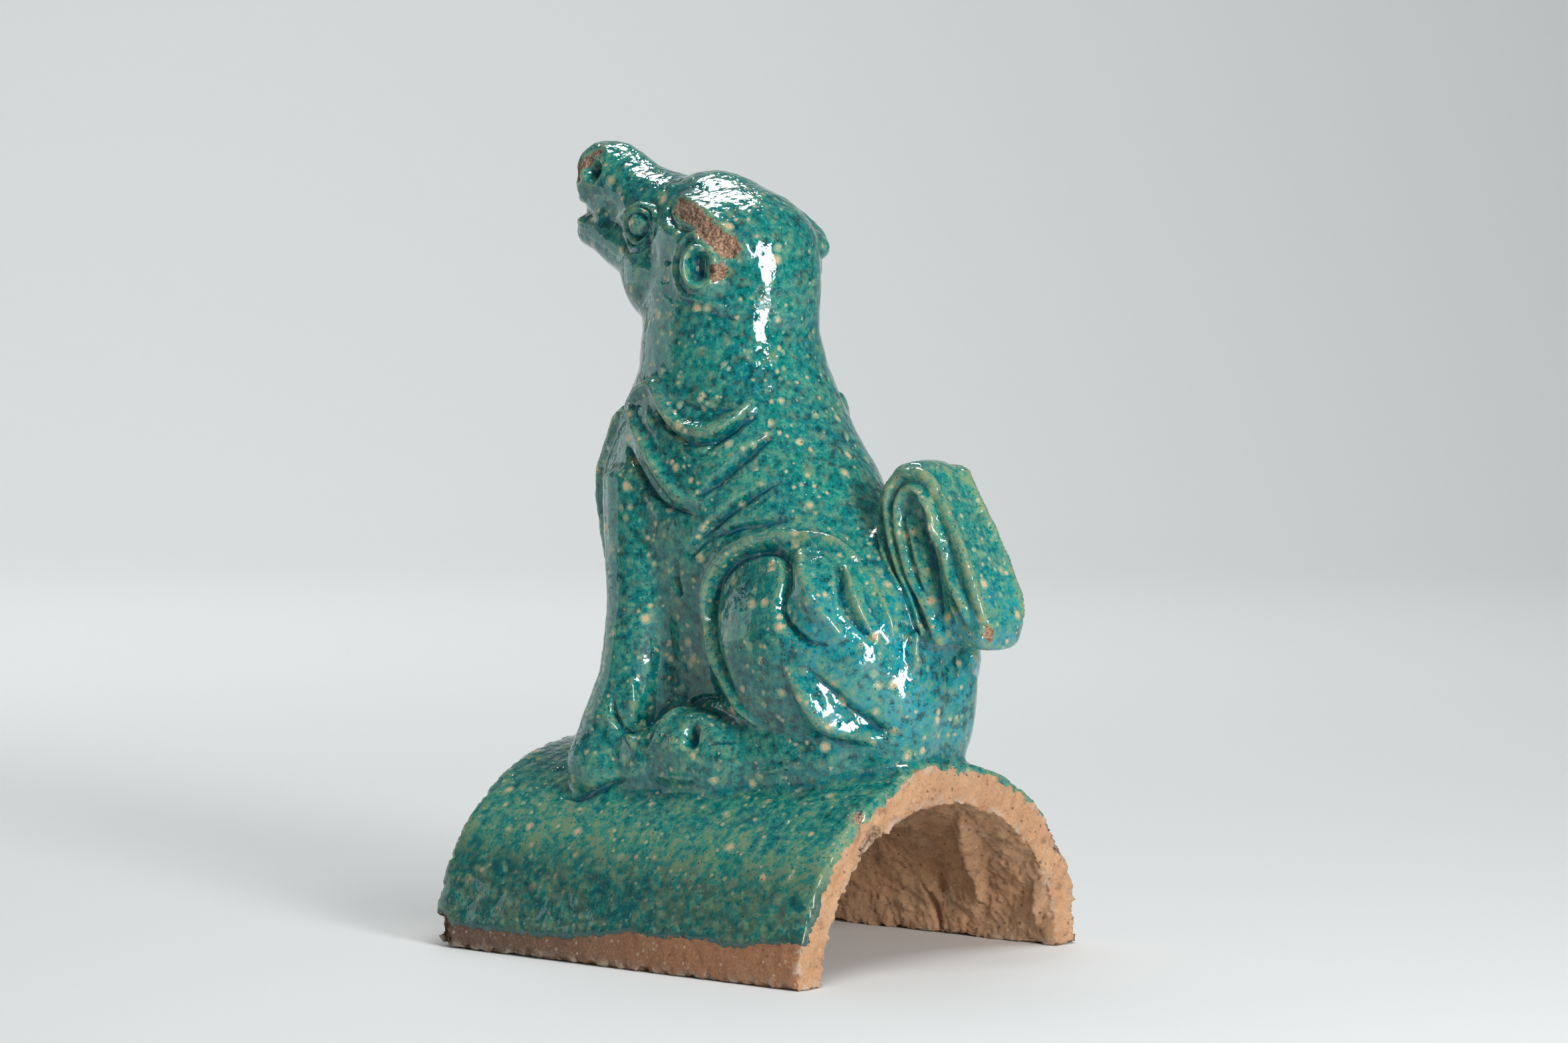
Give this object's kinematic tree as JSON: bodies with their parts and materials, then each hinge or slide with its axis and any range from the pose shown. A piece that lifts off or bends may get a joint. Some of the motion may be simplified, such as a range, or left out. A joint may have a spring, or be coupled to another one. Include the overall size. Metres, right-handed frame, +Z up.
{
  "type": "ridge tile ornament",
  "caption": "Half-barrel ridge tile with a seated beast on its crown, looking up: open below and at both ends, it stands on its two long edges or is bedded on a roof ridge.",
  "frame": {"origin": "middle of the whole outline seen from above, on the level of the tile's long bottom edges", "axes": "+Z up, -Y the way the beast faces along the tile, +X towards the beast's left flank"},
  "size_m": [0.1677, 0.2046, 0.3001],
  "materials": {
    "ridge_beast_tile": "deep turquoise lead glaze over buff to terracotta earthenware; bare clay at the tile's ends, foot band and breaks"
  },
  "bodies": {
    "root": {"ridge_beast_tile": "ridge_beast_tile"}
  },
  "joints": []
}
